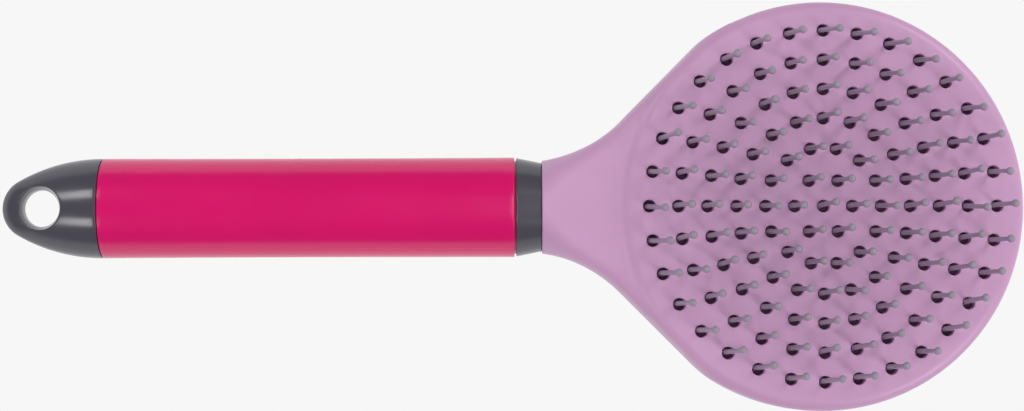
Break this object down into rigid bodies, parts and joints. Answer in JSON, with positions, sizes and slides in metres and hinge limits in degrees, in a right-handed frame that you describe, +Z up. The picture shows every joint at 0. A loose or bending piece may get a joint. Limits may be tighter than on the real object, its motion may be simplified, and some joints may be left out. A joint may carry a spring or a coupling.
{
  "type": "round mane and tail brush",
  "caption": "Round-faced mane and tail brush with ball-tipped pins on a sprung cushion, a sleeved round grip and an end cap with a hanging hole.",
  "frame": {"origin": "on the resting plane, under the middle of the round head, in the flat facet of the head's back", "axes": "+X towards the head's far end with the handle along -X, +Z up from the table towards the pins, +Y to the left seen from the handle"},
  "size_m": [0.2786, 0.1116, 0.0373],
  "materials": {
    "lilac_shell": "semi-gloss moulded",
    "plate_plastic": "natural moulded",
    "pad_rubber": "soft matte",
    "pin_nylon": "satin nylon",
    "grey_trim": "glossy moulded",
    "magenta_grip": "soft touch"
  },
  "bodies": {
    "brush": {"front_shell": "lilac_shell", "back_shell": "lilac_shell", "backing_plate": "plate_plastic", "cushion_pad": "pad_rubber", "collar_ring": "grey_trim", "grip_sleeve": "magenta_grip", "end_cap": "grey_trim"},
    "pin_centre": {"centre_pin": "pin_nylon"},
    "pins_1": {"pin_ring_1": "pin_nylon"},
    "pins_2": {"pin_ring_2": "pin_nylon"},
    "pins_3": {"pin_ring_3": "pin_nylon"},
    "pins_4": {"pin_ring_4": "pin_nylon"},
    "pins_5": {"pin_ring_5": "pin_nylon"},
    "pins_6": {"pin_ring_6": "pin_nylon"}
  },
  "joints": [
    {"name": "centre_pin_press", "type": "slide", "parent": "brush", "child": "pin_centre", "axis": [0.0785, 0, 0.9969], "range_m": [-0.002, 0], "stiffness_N_per_m": 100, "springref_m": 0.0002, "deforming": ["cushion_pad"]},
    {"name": "ring_1_press", "type": "slide", "parent": "brush", "child": "pins_1", "axis": [0.0785, 0, 0.9969], "range_m": [-0.002, 0], "stiffness_N_per_m": 600, "springref_m": 0.0002, "deforming": ["cushion_pad"]},
    {"name": "ring_2_press", "type": "slide", "parent": "brush", "child": "pins_2", "axis": [0.0785, 0, 0.9969], "range_m": [-0.002, 0], "stiffness_N_per_m": 1400, "springref_m": 0.0002, "deforming": ["cushion_pad"]},
    {"name": "ring_3_press", "type": "slide", "parent": "brush", "child": "pins_3", "axis": [0.0785, 0, 0.9969], "range_m": [-0.002, 0], "stiffness_N_per_m": 2000, "springref_m": 0.0002, "deforming": ["cushion_pad"]},
    {"name": "ring_4_press", "type": "slide", "parent": "brush", "child": "pins_4", "axis": [0.0785, 0, 0.9969], "range_m": [-0.002, 0], "stiffness_N_per_m": 2400, "springref_m": 0.0002, "deforming": ["cushion_pad"]},
    {"name": "ring_5_press", "type": "slide", "parent": "brush", "child": "pins_5", "axis": [0.0785, 0, 0.9969], "range_m": [-0.002, 0], "stiffness_N_per_m": 2800, "springref_m": 0.0002, "deforming": ["cushion_pad"]},
    {"name": "ring_6_press", "type": "slide", "parent": "brush", "child": "pins_6", "axis": [0.0785, 0, 0.9969], "range_m": [-0.002, 0], "stiffness_N_per_m": 3200, "springref_m": 0.0002, "deforming": ["cushion_pad"]}
  ]
}
